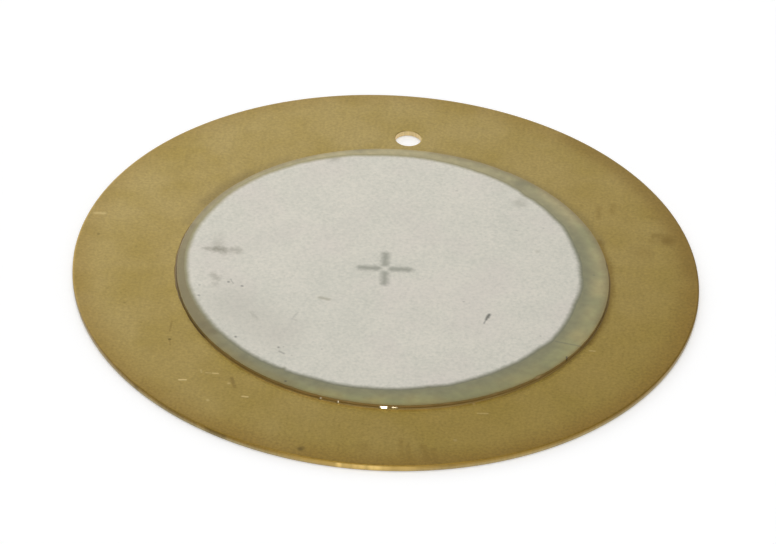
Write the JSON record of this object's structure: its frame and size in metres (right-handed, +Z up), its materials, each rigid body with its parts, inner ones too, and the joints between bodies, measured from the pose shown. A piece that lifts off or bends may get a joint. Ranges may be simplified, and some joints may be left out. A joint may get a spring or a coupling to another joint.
{
  "type": "piezo disc",
  "caption": "Thin round brass plate with a silvered piezoelectric ceramic disc bonded slightly off-centre on its upper face and a small hole pierced beside it.",
  "frame": {"origin": "centre of the brass plate's lower face, on which the disc rests", "axes": "+Z up through the thickness towards the silvered ceramic, +Y towards the pierced hole"},
  "size_m": [0.02, 0.02, 0.0003],
  "materials": {
    "brass": "rolled sheet, satin, lightly tarnished and scratched",
    "adhesive": "cured epoxy, glossy",
    "silver": "fired silver thick film, matt",
    "ceramic": "sintered lead zirconate titanate, as fired"
  },
  "bodies": {
    "root": {"brass_plate": "brass", "bond_layer": "adhesive", "lower_electrode": "silver", "ceramic_disc": "ceramic", "upper_electrode": "silver"}
  },
  "joints": []
}
